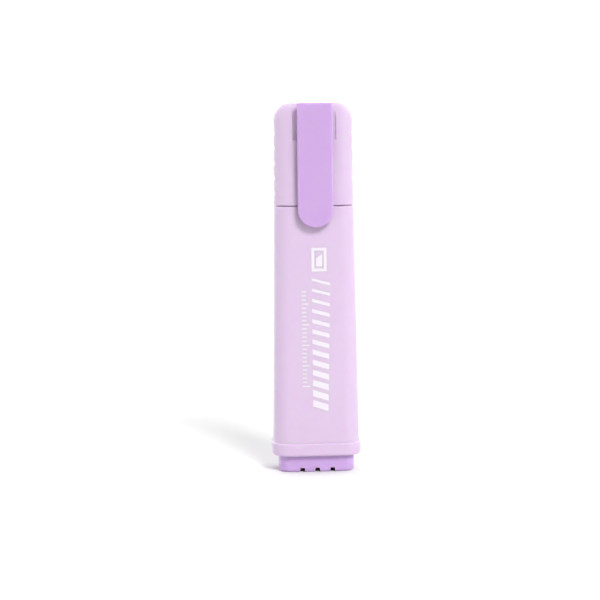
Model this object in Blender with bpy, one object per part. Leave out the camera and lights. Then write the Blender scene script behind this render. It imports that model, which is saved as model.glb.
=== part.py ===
"""A flat-bodied highlighter, standing on its end plug with the cap on.

Frame: metres, +Z up, X across the width, the clip on the -Y side. The origin is under the middle of
the whole object's box, on the surface it stands on, so the body's own axis stands BODY_Y behind it.
"""

import math

import bmesh
import bpy
from mathutils import Matrix, Vector

MM = 0.001

# ---- Driving sizes -------------------------------------------------------------------------------
# Heights above the surface the pen stands on.
TOTAL_HEIGHT = 112.0 * MM
SEAM_HEIGHT = 81.1 * MM  # middle of the joint line between cap and barrel
FLANGE_FOOT = 5.1 * MM
FLANGE_HEIGHT = 4.0 * MM

# Plan sizes, over the crowned faces.
CAP_WIDTH = 24.1 * MM  # at the mouth
CAP_DEPTH = 15.4 * MM
CAP_TOP_NARROWING = 0.3 * MM  # mouth to top, both ways
REAR_WIDTH = 26.1 * MM  # barrel where it meets the flange
REAR_DEPTH = 16.8 * MM
FLANGE_STEP = 0.55 * MM
CORNER_RADIUS = 4.4 * MM
FACE_CROWN = 0.5 * MM  # how far the wide faces bulge
SIDE_CROWN = 0.2 * MM  # how far the narrow faces bulge
CAP_EDGE_ACROSS = 4.9 * MM  # rounding of the cap's top edge at the narrow sides, and its height
CAP_EDGE_FRONT = 2.4 * MM  # the same rounding, measured from the wide faces

# Walls.
CAP_WALL = 1.4 * MM
CAP_ROOF = 1.7 * MM
BARREL_WALL = 1.8 * MM
MOUTH_WALL = 1.3 * MM  # of the barrel, round the end plug
NECK_WALL = 1.3 * MM
PLUG_WALL = 1.4 * MM
PLUG_SKIRT_WALL = 1.2 * MM

# Clearances.
SEAM_GAP = 0.35 * MM
SLIDE_FIT = 0.25 * MM  # neck in cap
SEAT_GAP = 0.3 * MM  # between pieces that touch in the real pen
SWING_GAP = 0.4 * MM  # round the clip's root, which rocks a little

# Neck, nib holder and nib.
NECK_LENGTH = 7.4 * MM
NECK_ROOF = 1.3 * MM
SHANK_RADIUS = 4.2 * MM
SHANK_LENGTH = 9.6 * MM
SLEEVE_WALL = 1.1 * MM  # tube inside the neck that takes the shank
COLLAR_RADIUS = 4.7 * MM
COLLAR_LENGTH = 3.2 * MM
NOSE_LENGTH = 3.6 * MM
NOSE_RADIUS = 3.5 * MM
NIB_WIDTH = 4.6 * MM
NIB_DEPTH = 3.4 * MM
NIB_OUT = 4.8 * MM  # beyond the nose
NIB_SLOPE = 3.2 * MM  # how much lower the short side of the chisel end is
NIB_IN_CORE = 8.0 * MM

# Inner cap.
INNER_CAP_WALL = 0.8 * MM
INNER_CAP_ROOF_GAP = 0.9 * MM  # over the nib's tip
INNER_CAP_FLANGE = 1.1 * MM
FIN_THICKNESS = 1.2 * MM
FIN_PLACE = 2.5 * MM  # fins stand this far each side of the middle
FIN_ROUND_CUP = 0.5 * MM

# Clip.
CLIP_WIDTH = 10.6 * MM
CLIP_TIP_HEIGHT = 74.8 * MM
CLIP_THICKNESS = 1.7 * MM
CLIP_PROUD = 3.0 * MM  # its front, beyond the cap's
CLIP_END_LENGTH = 5.0 * MM  # of the rounded end
CLIP_EDGE = 0.45 * MM
CLIP_TOP_DROP = 0.1 * MM
ROOT_HEIGHT = 8.0 * MM
RAIL_WIDTH = 4.4 * MM
RAIL_HEAD_WIDTH = 7.2 * MM
RAIL_HEAD_THICKNESS = 1.2 * MM
RAIL_LIP = 1.0 * MM
SOCKET_WALL = 1.0 * MM
PANEL_WIDTH = 13.4 * MM  # sunk panel round the clip's root
PANEL_DRAFT = 0.5 * MM
PANEL_DEPTH = 0.6 * MM
PANEL_HEIGHT = 11.1 * MM
NUB_WIDTH = 5.0 * MM
NUB_RADIUS = 0.9 * MM
NUB_OVER_SEAM = 4.0 * MM

# Grip grooves on the cap's narrow sides.
GROOVE_COUNT = 5
GROOVE_PITCH = 4.5 * MM
GROOVE_WIDTH = 1.7 * MM
GROOVE_DEPTH = 0.3 * MM
GROOVE_LOWEST = 85.0 * MM

# End plug.
PLUG_INSERT = 8.0 * MM  # length inside the barrel
PLUG_HOLLOW = 5.0 * MM
PLUG_WEB = 1.3 * MM
PLUG_EDGE = 0.5 * MM
NOTCH_COUNT = 3
NOTCH_PITCH = 4.6 * MM
NOTCH_WIDTH = 1.7 * MM  # at the rim
NOTCH_TOP_WIDTH = 1.3 * MM
NOTCH_HEIGHT = 1.3 * MM
STAY_THICKNESS = 1.2 * MM

# Reservoir.
CORE_WIDTH = 17.6 * MM
CORE_DEPTH = 9.0 * MM
CORE_CORNER = 3.6 * MM
CORE_FOOT = 12.0 * MM
CORE_HEADROOM = 2.4 * MM  # under the neck
FILM_THICKNESS = 0.3 * MM
RIB_THICKNESS = 1.2 * MM
RIB_PLACE = 5.0 * MM  # ribs on the wide walls stand this far each side of the middle

# Facets.
CORNER_STEPS = 5
FACE_STEPS = 6
SIDE_STEPS = 3
ROUND_STEPS = 40
PAST = 1.0 * MM  # how far a cutter runs past what it cuts

# ---- Sizes that follow ---------------------------------------------------------------------------
BARREL_TOP = SEAM_HEIGHT - SEAM_GAP / 2
CAP_FOOT = SEAM_HEIGHT + SEAM_GAP / 2
FLANGE_TOP = FLANGE_FOOT + FLANGE_HEIGHT
NECK_TOP = BARREL_TOP + NECK_LENGTH
COLLAR_FOOT = NECK_TOP + SEAT_GAP
COLLAR_TOP = COLLAR_FOOT + COLLAR_LENGTH
NOSE_TOP = COLLAR_TOP + NOSE_LENGTH
NIB_TOP = NOSE_TOP + NIB_OUT
SHANK_FOOT = NECK_TOP - SHANK_LENGTH
BORE_RADIUS = SHANK_RADIUS + SEAT_GAP

FACE_Y = CAP_DEPTH / 2
CLIP_FRONT = FACE_Y + CLIP_PROUD
FLANGE_DEPTH = REAR_DEPTH + 2 * FLANGE_STEP
BODY_Y = (CLIP_FRONT - FLANGE_DEPTH / 2) / 2

CUP_INNER = max(COLLAR_RADIUS, SHANK_RADIUS) + SEAT_GAP
CUP_OUTER = CUP_INNER + INNER_CAP_WALL
CUP_FOOT = COLLAR_FOOT + SEAT_GAP
CUP_TOP = NIB_TOP + INNER_CAP_ROOF_GAP + INNER_CAP_WALL
CUP_FLANGE_TOP = CUP_FOOT + INNER_CAP_FLANGE

CLIP_TOP = TOTAL_HEIGHT - CLIP_TOP_DROP
ROOT_FOOT = TOTAL_HEIGHT - ROOT_HEIGHT
PANEL_Y = FACE_Y - PANEL_DEPTH
LIP_BACK = PANEL_Y - RAIL_LIP
HEAD_FRONT = LIP_BACK - SEAT_GAP
HEAD_BACK = HEAD_FRONT - RAIL_HEAD_THICKNESS
SOCKET_BACK = HEAD_BACK - SWING_GAP - SOCKET_WALL
SOCKET_FOOT = ROOT_FOOT - SWING_GAP - SOCKET_WALL
HINGE_Y = (PANEL_Y + LIP_BACK) / 2
HINGE_Z = (ROOT_FOOT + TOTAL_HEIGHT) / 2

MOUTH_WIDTH = REAR_WIDTH - 2 * MOUTH_WALL
MOUTH_DEPTH = REAR_DEPTH - 2 * MOUTH_WALL
MOUTH_CORNER = CORNER_RADIUS - MOUTH_WALL
PLUG_TOP = FLANGE_FOOT + PLUG_INSERT
CORE_TOP = BARREL_TOP - CORE_HEADROOM
ROOM_TOP = BARREL_TOP - BARREL_WALL
FILM_GROWTH = SEAT_GAP + FILM_THICKNESS


# ---- Outlines and solids -------------------------------------------------------------------------
def face_outwards(bm):
    """Points every face of a closed shape outwards."""
    bmesh.ops.recalc_face_normals(bm, faces=bm.faces)
    if bm.calc_volume(signed=True) < 0:
        bmesh.ops.reverse_faces(bm, faces=bm.faces)


def outline(width, depth, corner, height, crowned=True):
    """Points of one plan section: a rounded rectangle whose four faces bulge a little."""
    bulge_x, bulge_y = (SIDE_CROWN, FACE_CROWN) if crowned else (0.0, 0.0)
    flat_x, flat_y = width / 2 - bulge_x, depth / 2 - bulge_y
    quarter = math.pi / 2
    points = []
    for turn, (side, front) in enumerate(((1, 1), (-1, 1), (-1, -1), (1, -1))):
        centre = Vector((side * (flat_x - corner), front * (flat_y - corner)))
        for step in range(CORNER_STEPS + 1):
            angle = quarter * (turn + step / CORNER_STEPS)
            points.append(centre + corner * Vector((math.cos(angle), math.sin(angle))))
        steps = SIDE_STEPS if turn % 2 else FACE_STEPS
        reach = 2 * ((flat_y if turn % 2 else flat_x) - corner)
        along = Vector((-math.sin(quarter * (turn + 1)), math.cos(quarter * (turn + 1))))
        start = points[-1]
        points += [start + along * reach * step / steps for step in range(1, steps)]
    return [
        Vector((
            x * (1 + bulge_x / flat_x * (1 - (y / flat_y) ** 2)),
            y * (1 + bulge_y / flat_y * (1 - (x / flat_x) ** 2)),
            height,
        ))
        for x, y in points
    ]


def loft(rings):
    """A closed solid through rings with equal numbers of points, flat at both ends."""
    bm = bmesh.new()
    loops = [[bm.verts.new(point) for point in ring] for ring in rings]
    for lower, upper in zip(loops, loops[1:]):
        for a, b, c, d in zip(lower, lower[1:] + lower[:1], upper[1:] + upper[:1], upper):
            bm.faces.new((a, b, c, d))
    for end in (loops[0], loops[-1]):
        bm.faces.new(end)
    bmesh.ops.triangulate(bm, faces=bm.faces)  # its bands aren't flat, and a Boolean needs flat faces
    face_outwards(bm)
    return bm


def turned(profile):
    """A solid turned about Z from a closed profile of (radius, height) points."""
    bm = bmesh.new()
    verts = [bm.verts.new((radius, 0, height)) for radius, height in profile]
    edges = [bm.edges.new(pair) for pair in zip(verts, verts[1:])]
    if profile[0][0] and profile[-1][0]:
        edges.append(bm.edges.new((verts[-1], verts[0])))
    bmesh.ops.spin(bm, geom=verts + edges, axis=(0, 0, 1), cent=(0, 0, 0), steps=ROUND_STEPS,
                   angle=math.tau, use_merge=True)
    bmesh.ops.remove_doubles(bm, verts=bm.verts, dist=0.001 * MM)
    face_outwards(bm)
    return bm


def block(x0, x1, y0, y1, z0, z1):
    """A rectangular solid between two corners."""
    bm = bmesh.new()
    bmesh.ops.create_cube(bm, size=1.0)
    bmesh.ops.scale(bm, vec=(x1 - x0, y1 - y0, z1 - z0), verts=bm.verts)
    bmesh.ops.translate(bm, vec=((x0 + x1) / 2, (y0 + y1) / 2, (z0 + z1) / 2), verts=bm.verts)
    return bm


def prism(points, along):
    """A solid made by moving a flat polygon along a vector."""
    bm = bmesh.new()
    face = bm.faces.new([bm.verts.new(point) for point in points])
    moved = bmesh.ops.extrude_face_region(bm, geom=[face])
    verts = [item for item in moved["geom"] if isinstance(item, bmesh.types.BMVert)]
    bmesh.ops.translate(bm, vec=along, verts=verts)
    face_outwards(bm)
    return bm


def plastic(name, colour, roughness):
    """A Principled material of one colour."""
    material = bpy.data.materials.new(name)
    material.use_nodes = True
    shader = material.node_tree.nodes["Principled BSDF"]
    shader.inputs["Base Color"].default_value = (*colour, 1.0)
    shader.inputs["Roughness"].default_value = roughness
    shader.inputs["Metallic"].default_value = 0.0
    material.diffuse_color = (*colour, 1.0)
    return material


def empty(name, location, parent=None):
    """An empty that carries the pieces of one moving body."""
    holder = bpy.data.objects.new(name, None)
    holder.empty_display_size = 5 * MM
    holder.location = location
    holder.parent = parent
    bpy.context.scene.collection.objects.link(holder)
    return holder


def piece(name, bm, material, parent, origin):
    """An object whose mesh was made about the body's axis, with its own origin moved to `origin`."""
    bmesh.ops.translate(bm, vec=-Vector(origin), verts=bm.verts)
    mesh = bpy.data.meshes.new(name)
    bm.to_mesh(mesh)
    bm.free()
    mesh.shade_smooth()
    mesh.set_sharp_from_angle(angle=math.radians(32))
    obj = bpy.data.objects.new(name, mesh)
    obj.location = Vector(origin) - Vector(BODY_ORIGINS[parent.name])
    obj.parent = parent
    bpy.context.scene.collection.objects.link(obj)
    if material:
        mesh.materials.append(material)
    return obj


def shape(target, operation, name, bm):
    """Adds `bm` to the target, or cuts it away, through a hidden helper object."""
    helper = piece(name, bm, None, target.parent, (0, 0, 0))
    helper.hide_render = True
    helper.display_type = "WIRE"
    modifier = target.modifiers.new(name, "BOOLEAN")
    modifier.operation = operation
    modifier.object = helper
    modifier.solver = "EXACT"


# ---- Sections of the body ------------------------------------------------------------------------
def barrel_size(height):
    """Width and depth of the barrel at a height: it widens evenly towards the flange."""
    share = (height - FLANGE_TOP) / (BARREL_TOP - FLANGE_TOP)
    return (REAR_WIDTH + (CAP_WIDTH - REAR_WIDTH) * share,
            REAR_DEPTH + (CAP_DEPTH - REAR_DEPTH) * share)


def barrel_ring(height, inset=0.0, at=None):
    """The barrel's section, pulled in by `inset`. `at` gives the height whose size is used."""
    width, depth = barrel_size(height if at is None else at)
    corner = max(CORNER_RADIUS - inset, 1.0 * MM)
    return outline(width - 2 * inset, depth - 2 * inset, corner, height)


def cap_size(height):
    """Width and depth of the cap's straight sides at a height."""
    narrowing = CAP_TOP_NARROWING * (height - CAP_FOOT) / (TOTAL_HEIGHT - CAP_FOOT)
    return CAP_WIDTH - narrowing, CAP_DEPTH - narrowing


def cap_ring(height, inset_x=0.0, inset_y=None):
    """The cap's section, pulled in from its narrow sides and its wide faces."""
    width, depth = cap_size(height)
    inset_y = inset_x if inset_y is None else inset_y
    corner = max(CORNER_RADIUS - max(inset_x, inset_y), 1.0 * MM)
    return outline(width - 2 * inset_x, depth - 2 * inset_y, corner, height)


def edge_steps(count):
    """Shares (inset, height) of a quarter-round edge, from its straight side to its flat end."""
    angles = [math.pi / 2 * step / count for step in range(count + 1)]
    return [(1 - math.cos(angle), math.sin(angle)) for angle in angles]


# ---- Pieces --------------------------------------------------------------------------------------
def make_barrel(body, material):
    """Tapered shell with a flange round its open rear end and a neck for the cap."""
    foot_edge, top_edge = 0.8 * MM, 0.4 * MM
    rings = []
    for inset, rise in reversed(edge_steps(3)):
        height = FLANGE_FOOT + foot_edge * (1 - rise)
        rings.append(barrel_ring(height, foot_edge * inset - FLANGE_STEP, at=FLANGE_TOP))
    for inset, rise in edge_steps(2):
        height = FLANGE_TOP - top_edge * (1 - rise)
        rings.append(barrel_ring(height, top_edge * inset - FLANGE_STEP, at=FLANGE_TOP))
    rings.append(barrel_ring(FLANGE_TOP + FLANGE_STEP, 0.0))
    rings.append(barrel_ring(BARREL_TOP))
    inset = CAP_WALL + SLIDE_FIT
    neck = CAP_WIDTH - 2 * inset, CAP_DEPTH - 2 * inset, CORNER_RADIUS - inset
    lead = 0.5 * MM
    rings.append(outline(*neck, BARREL_TOP))
    rings.append(outline(*neck, NECK_TOP - lead))
    rings.append(outline(neck[0] - 2 * lead, neck[1] - 2 * lead, neck[2] - lead, NECK_TOP))
    barrel = piece("barrel", loft(rings), material, body, (0, 0, 0))

    mouth = MOUTH_WIDTH, MOUTH_DEPTH, MOUTH_CORNER
    room = neck[0] - 2 * NECK_WALL, neck[1] - 2 * NECK_WALL, neck[2] - NECK_WALL / 2
    step = PLUG_TOP + SEAT_GAP
    shape(barrel, "DIFFERENCE", "cut_inside", loft([
        outline(*mouth, FLANGE_FOOT - PAST), outline(*mouth, step),
        barrel_ring(step, BARREL_WALL), barrel_ring(ROOM_TOP, BARREL_WALL),
        outline(*room, ROOM_TOP), outline(*room, NECK_TOP - NECK_ROOF),
    ]))
    shape(barrel, "UNION", "add_holder_sleeve", turned([
        (0, SHANK_FOOT + PAST), (BORE_RADIUS + SLEEVE_WALL, SHANK_FOOT + PAST),
        (BORE_RADIUS + SLEEVE_WALL, NECK_TOP - NECK_ROOF / 2), (0, NECK_TOP - NECK_ROOF / 2),
    ]))
    shape(barrel, "DIFFERENCE", "cut_holder_bore", turned([
        (0, SHANK_FOOT - PAST), (BORE_RADIUS, SHANK_FOOT - PAST),
        (BORE_RADIUS, NECK_TOP + PAST), (0, NECK_TOP + PAST),
    ]))
    for number, ring_pair in enumerate(rib_rings()):
        shape(barrel, "UNION", f"add_rib_{number}", loft(ring_pair))
    return barrel


def rib_rings():
    """Lower and upper sections of each rib that centres the reservoir in the barrel."""
    near_x = CORE_WIDTH / 2 + FILM_GROWTH + SEAT_GAP
    near_y = CORE_DEPTH / 2 + FILM_GROWTH + SEAT_GAP
    half = RIB_THICKNESS / 2
    heights = PLUG_TOP + SEAT_GAP + PAST, CORE_TOP
    ribs = []
    for side in (-1, 1):
        ribs.append([
            [Vector((side * x, y, height)) for x, y in
             ((near_x, -half), (far, -half), (far, half), (near_x, half))]
            for height in heights
            for far in [barrel_size(height)[0] / 2 - BARREL_WALL / 2]
        ])
        for place in (-RIB_PLACE, RIB_PLACE):
            ribs.append([
                [Vector((x, side * y, height)) for x, y in
                 ((place - half, near_y), (place + half, near_y), (place + half, far), (place - half, far))]
                for height in heights
                for far in [barrel_size(height)[1] / 2 - BARREL_WALL / 2]
            ])
    return ribs


def make_end_plug(body, material):
    """Cup pressed into the barrel's rear: hollow below, with notches in its rim, and a skirt above."""
    size = MOUTH_WIDTH - 2 * SEAT_GAP, MOUTH_DEPTH - 2 * SEAT_GAP
    corner = MOUTH_CORNER - SEAT_GAP
    rings = []
    for inset, rise in reversed(edge_steps(3)):
        pull = PLUG_EDGE * inset
        rings.append(outline(size[0] - 2 * pull, size[1] - 2 * pull, corner - pull, PLUG_EDGE * (1 - rise)))
    lead = 0.4 * MM
    rings.append(outline(*size, corner, PLUG_TOP - lead))
    rings.append(outline(size[0] - lead, size[1] - lead, corner - lead / 2, PLUG_TOP))
    plug = piece("end_plug", loft(rings), material, body, (0, 0, 0))

    below = size[0] - 2 * PLUG_WALL, size[1] - 2 * PLUG_WALL, corner - PLUG_WALL / 2
    shape(plug, "DIFFERENCE", "cut_plug_hollow", loft([
        outline(*below, -PAST), outline(*below, PLUG_HOLLOW),
    ]))
    wall = PLUG_SKIRT_WALL
    above = size[0] - 2 * wall, size[1] - 2 * wall, corner - wall / 2
    web_top = PLUG_HOLLOW + PLUG_WEB
    shape(plug, "DIFFERENCE", "cut_plug_skirt", loft([
        outline(*above, web_top), outline(*above, PLUG_TOP + PAST),
    ]))
    reach = size[1] / 2 + PAST
    for number in range(NOTCH_COUNT):
        middle = NOTCH_PITCH * (number - (NOTCH_COUNT - 1) / 2)
        slope = (NOTCH_WIDTH - NOTCH_TOP_WIDTH) / 2 / NOTCH_HEIGHT
        foot = NOTCH_WIDTH / 2 + slope * PAST
        head = NOTCH_TOP_WIDTH / 2
        shape(plug, "DIFFERENCE", f"cut_notch_{number}", prism(
            [(middle - foot, -reach, -PAST), (middle + foot, -reach, -PAST),
             (middle + head, -reach, NOTCH_HEIGHT), (middle - head, -reach, NOTCH_HEIGHT)],
            (0, 2 * reach, 0)))
    half = STAY_THICKNESS / 2
    for number, place in enumerate((-RIB_PLACE, RIB_PLACE)):
        shape(plug, "UNION", f"add_stay_{number}", block(
            place - half, place + half, -size[1] / 2 + wall / 2, size[1] / 2 - wall / 2,
            web_top - PLUG_WEB / 2, CORE_FOOT - SEAT_GAP))
    return plug


def make_reservoir(body, core_material, film_material):
    """Fibre bundle with a pocket where the nib presses in, and the film sleeve round it."""
    core = piece("reservoir_core", loft([
        outline(CORE_WIDTH, CORE_DEPTH, CORE_CORNER, height, crowned=False)
        for height in (CORE_FOOT, CORE_TOP)
    ]), core_material, body, (0, 0, 0))
    x, y = NIB_WIDTH / 2 + SEAT_GAP, NIB_DEPTH / 2 + SEAT_GAP
    shape(core, "DIFFERENCE", "cut_nib_pocket", block(
        -x, x, -y, y, CORE_TOP - NIB_IN_CORE - SEAT_GAP, CORE_TOP + PAST))

    def sleeve(growth, past):
        return loft([
            outline(CORE_WIDTH + 2 * growth, CORE_DEPTH + 2 * growth, CORE_CORNER + growth, height,
                    crowned=False)
            for height in (CORE_FOOT - past, CORE_TOP + past)
        ])

    film = piece("reservoir_film", sleeve(FILM_GROWTH, 0), film_material, body, (0, 0, 0))
    shape(film, "DIFFERENCE", "cut_core_room", sleeve(SEAT_GAP, PAST))
    return core, film


def make_nib_holder(body, material):
    """Sleeve with a shank in the barrel's neck, a sealing collar on it and a nose round the nib."""
    edge = 0.3 * MM
    holder = piece("nib_holder", turned([
        (0, SHANK_FOOT), (SHANK_RADIUS - edge, SHANK_FOOT), (SHANK_RADIUS, SHANK_FOOT + edge),
        (SHANK_RADIUS, COLLAR_FOOT), (COLLAR_RADIUS, COLLAR_FOOT),
        (COLLAR_RADIUS, COLLAR_TOP - edge), (COLLAR_RADIUS - edge, COLLAR_TOP),
        (SHANK_RADIUS, COLLAR_TOP), (NOSE_RADIUS, NOSE_TOP), (0, NOSE_TOP),
    ]), material, body, (0, 0, 0))
    x, y = NIB_WIDTH / 2 + SEAT_GAP, NIB_DEPTH / 2 + SEAT_GAP
    shape(holder, "DIFFERENCE", "cut_nib_channel", block(
        -x, x, -y, y, SHANK_FOOT - PAST, NOSE_TOP + PAST))
    return holder


def make_nib(body, material):
    """Chisel nib: a flat bar of pressed fibre with a slanted end, its rear in the reservoir."""
    x, y = NIB_WIDTH / 2, NIB_DEPTH / 2
    foot = CORE_TOP - NIB_IN_CORE
    bm = prism([(-x, -y, foot), (x, -y, foot), (x, -y, NIB_TOP), (-x, -y, NIB_TOP - NIB_SLOPE)],
               (0, 2 * y, 0))
    upright = [edge for edge in bm.edges
               if abs(edge.verts[0].co.x - edge.verts[1].co.x) < 0.1 * MM
               and abs(edge.verts[0].co.y - edge.verts[1].co.y) < 0.1 * MM]
    bmesh.ops.bevel(bm, geom=upright, offset=0.5 * MM, segments=2, profile=0.5, affect="EDGES",
                    material=-1)
    return piece("nib", bm, material, body, (0, 0, 0))


def make_cap_shell(body, material):
    """Cap with a rounded top edge, side grooves, a sunk panel and a T-slot for the clip, and fins."""
    rings = [cap_ring(CAP_FOOT), cap_ring(TOTAL_HEIGHT - CAP_EDGE_ACROSS)]
    for inset, rise in edge_steps(6)[1:]:
        height = TOTAL_HEIGHT - CAP_EDGE_ACROSS * (1 - rise)
        rings.append(cap_ring(height, CAP_EDGE_ACROSS * inset, CAP_EDGE_FRONT * inset))
    origin = (0, 0, SEAM_HEIGHT)
    cap = piece("cap_shell", loft(rings), material, body, origin)

    roof = TOTAL_HEIGHT - CAP_ROOF
    shoulder = TOTAL_HEIGHT - CAP_EDGE_ACROSS - CAP_ROOF
    deepest = CAP_WALL + CAP_EDGE_ACROSS / 2, CAP_WALL + CAP_EDGE_FRONT / 2
    shape(cap, "DIFFERENCE", "cut_cap_hollow", loft([
        cap_ring(CAP_FOOT - PAST, CAP_WALL), cap_ring(CAP_FOOT, CAP_WALL),
        cap_ring(shoulder, CAP_WALL), cap_ring(roof, *deepest),
    ]))
    half_head = RAIL_HEAD_WIDTH / 2 + SEAT_GAP
    half_socket = half_head + SOCKET_WALL
    shape(cap, "UNION", "add_clip_socket", block(
        -half_socket, half_socket, -FACE_Y + PANEL_DEPTH / 2 + CAP_WALL / 4, -SOCKET_BACK,
        SOCKET_FOOT, roof + CAP_ROOF / 2))
    near = CUP_OUTER + FIN_ROUND_CUP
    far = cap_size(TOTAL_HEIGHT)[0] / 2 - CAP_WALL / 2
    fin_foot = CUP_FLANGE_TOP + SEAT_GAP
    for number, (side, place) in enumerate((side, place) for side in (-1, 1) for place in (-1, 1)):
        middle = place * FIN_PLACE
        start, end = sorted((side * near, side * far))
        shape(cap, "UNION", f"add_fin_{number}", block(
            start, end, middle - FIN_THICKNESS / 2, middle + FIN_THICKNESS / 2,
            fin_foot, shoulder + CAP_ROOF / 2))
    above = TOTAL_HEIGHT + PAST
    foot = TOTAL_HEIGHT - PANEL_HEIGHT
    half, slope = PANEL_WIDTH / 2, PANEL_DRAFT / PANEL_DEPTH
    shape(cap, "DIFFERENCE", "cut_panel", loft([
        [(side * (half + slope * beyond), -PANEL_Y - PANEL_DEPTH - beyond, height)
         for side, height in ((-1, foot - slope * beyond), (1, foot - slope * beyond),
                              (1, above), (-1, above))]
        for beyond in (-PANEL_DEPTH, PAST)
    ]))
    slot_foot = ROOT_FOOT - SWING_GAP
    half_rail = RAIL_WIDTH / 2 + SEAT_GAP
    shape(cap, "DIFFERENCE", "cut_rail_slot", block(
        -half_rail, half_rail, -FACE_Y - PAST, -(LIP_BACK + HEAD_FRONT) / 2, slot_foot, above))
    shape(cap, "DIFFERENCE", "cut_head_slot", block(
        -half_head, half_head, -LIP_BACK, -HEAD_BACK + SWING_GAP, slot_foot, above))
    radius = (GROOVE_WIDTH ** 2 / 4 + GROOVE_DEPTH ** 2) / (2 * GROOVE_DEPTH)
    for number in range(GROOVE_COUNT * 2):
        side = -1 if number % 2 else 1
        height = GROOVE_LOWEST + GROOVE_PITCH * (number // 2)
        centre = side * (cap_size(height)[0] / 2 + radius - GROOVE_DEPTH)
        bm = bmesh.new()
        bmesh.ops.create_cone(bm, cap_ends=True, segments=32, radius1=radius, radius2=radius,
                              depth=CAP_DEPTH)
        bmesh.ops.rotate(bm, cent=(0, 0, 0), matrix=Matrix.Rotation(math.pi / 2, 3, "X"), verts=bm.verts)
        bmesh.ops.translate(bm, vec=(centre, 0, height), verts=bm.verts)
        shape(cap, "DIFFERENCE", f"cut_groove_{number}", bm)
    return cap


def make_inner_cap(body, material):
    """Sealing cup over the nib, with a flange that fills the cap and stops against its fins."""
    roof = CUP_TOP - INNER_CAP_WALL
    cup = piece("inner_cap", turned([
        (0, roof), (CUP_INNER - 0.6 * MM, roof), (CUP_INNER, roof - 0.6 * MM), (CUP_INNER, CUP_FOOT),
        (CUP_OUTER, CUP_FOOT), (CUP_OUTER, CUP_TOP - 0.6 * MM), (CUP_OUTER - 0.6 * MM, CUP_TOP),
        (0, CUP_TOP),
    ]), material, body, (0, 0, SEAM_HEIGHT))
    inset = CAP_WALL + SEAT_GAP
    plate = loft([cap_ring(CUP_FOOT, inset), cap_ring(CUP_FLANGE_TOP, inset)])
    shape(cup, "UNION", "add_flange", plate)
    shape(cup, "DIFFERENCE", "cut_flange", turned([
        (0, CUP_FOOT - PAST), (CUP_INNER, CUP_FOOT - PAST),
        (CUP_INNER, CUP_FLANGE_TOP + PAST), (0, CUP_FLANGE_TOP + PAST),
    ]))
    return cup


def make_clip(body, material):
    """Flat clip with a rounded end, a root block and a T-rail in the cap, and a grip nub."""
    half = CLIP_WIDTH / 2
    turn = CLIP_TIP_HEIGHT + CLIP_END_LENGTH
    steps = 14
    points = [(half, -CLIP_FRONT, CLIP_TOP), (-half, -CLIP_FRONT, CLIP_TOP)]
    for step in range(steps + 1):
        angle = math.pi * (1 + step / steps)
        points.append((half * math.cos(angle), -CLIP_FRONT, turn + CLIP_END_LENGTH * math.sin(angle)))
    bm = prism(points, (0, CLIP_THICKNESS, 0))
    front = [edge for edge in bm.edges if all(vert.co.y < -CLIP_FRONT + 0.1 * MM for vert in edge.verts)]
    bmesh.ops.bevel(bm, geom=front, offset=CLIP_EDGE, segments=2, profile=0.5, affect="EDGES",
                    material=-1)
    clip = piece("clip", bm, material, body, (0, -HINGE_Y, HINGE_Z))
    behind = CLIP_FRONT - CLIP_THICKNESS
    inside = behind + CLIP_THICKNESS / 2
    root_back = PANEL_Y + SWING_GAP
    shape(clip, "UNION", "add_root", block(
        -half + CLIP_EDGE, half - CLIP_EDGE, -inside, -root_back, ROOT_FOOT, CLIP_TOP - CLIP_EDGE))
    head = (HEAD_FRONT + HEAD_BACK) / 2
    shape(clip, "UNION", "add_rail", block(
        -RAIL_WIDTH / 2, RAIL_WIDTH / 2, -inside, -head, ROOT_FOOT, CLIP_TOP - CLIP_EDGE))
    shape(clip, "UNION", "add_rail_head", block(
        -RAIL_HEAD_WIDTH / 2, RAIL_HEAD_WIDTH / 2, -HEAD_FRONT, -HEAD_BACK, ROOT_FOOT,
        CLIP_TOP - CLIP_EDGE))
    height = SEAM_HEIGHT + NUB_OVER_SEAM
    bm = bmesh.new()
    bmesh.ops.create_cone(bm, cap_ends=True, segments=20, radius1=NUB_RADIUS, radius2=NUB_RADIUS,
                          depth=NUB_WIDTH)
    bmesh.ops.rotate(bm, cent=(0, 0, 0), matrix=Matrix.Rotation(math.pi / 2, 3, "Y"), verts=bm.verts)
    bmesh.ops.translate(bm, vec=(0, -(FACE_Y + SEAT_GAP + NUB_RADIUS), height), verts=bm.verts)
    shape(clip, "UNION", "add_nub", bm)
    return clip


# ---- Build ---------------------------------------------------------------------------------------
for old in list(bpy.data.objects):
    bpy.data.objects.remove(old, do_unlink=True)

BODY_ORIGINS = {
    "pen_body": (0, 0, 0),
    "cap_slide": (0, 0, SEAM_HEIGHT),
    "clip_hinge": (0, -HINGE_Y, HINGE_Z),
}
pen_body = empty("pen_body", (0, BODY_Y, 0))
cap_slide = empty("cap_slide", BODY_ORIGINS["cap_slide"], pen_body)
clip_hinge = empty("clip_hinge", Vector(BODY_ORIGINS["clip_hinge"]) - Vector(BODY_ORIGINS["cap_slide"]),
                   cap_slide)

pale = plastic("pale_lilac_polypropylene", (0.73, 0.58, 0.79), 0.35)
lilac = plastic("lilac_polypropylene", (0.62, 0.41, 0.74), 0.33)
white = plastic("white_polyethylene", (0.86, 0.84, 0.86), 0.45)
fibre = plastic("inked_fibre", (0.55, 0.30, 0.68), 0.9)
film = plastic("clear_film", (0.85, 0.83, 0.88), 0.2)

make_barrel(pen_body, pale)
make_end_plug(pen_body, lilac)
make_reservoir(pen_body, fibre, film)
make_nib_holder(pen_body, white)
make_nib(pen_body, fibre)
make_cap_shell(cap_slide, pale)
make_inner_cap(cap_slide, white)
make_clip(clip_hinge, lilac)
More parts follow.
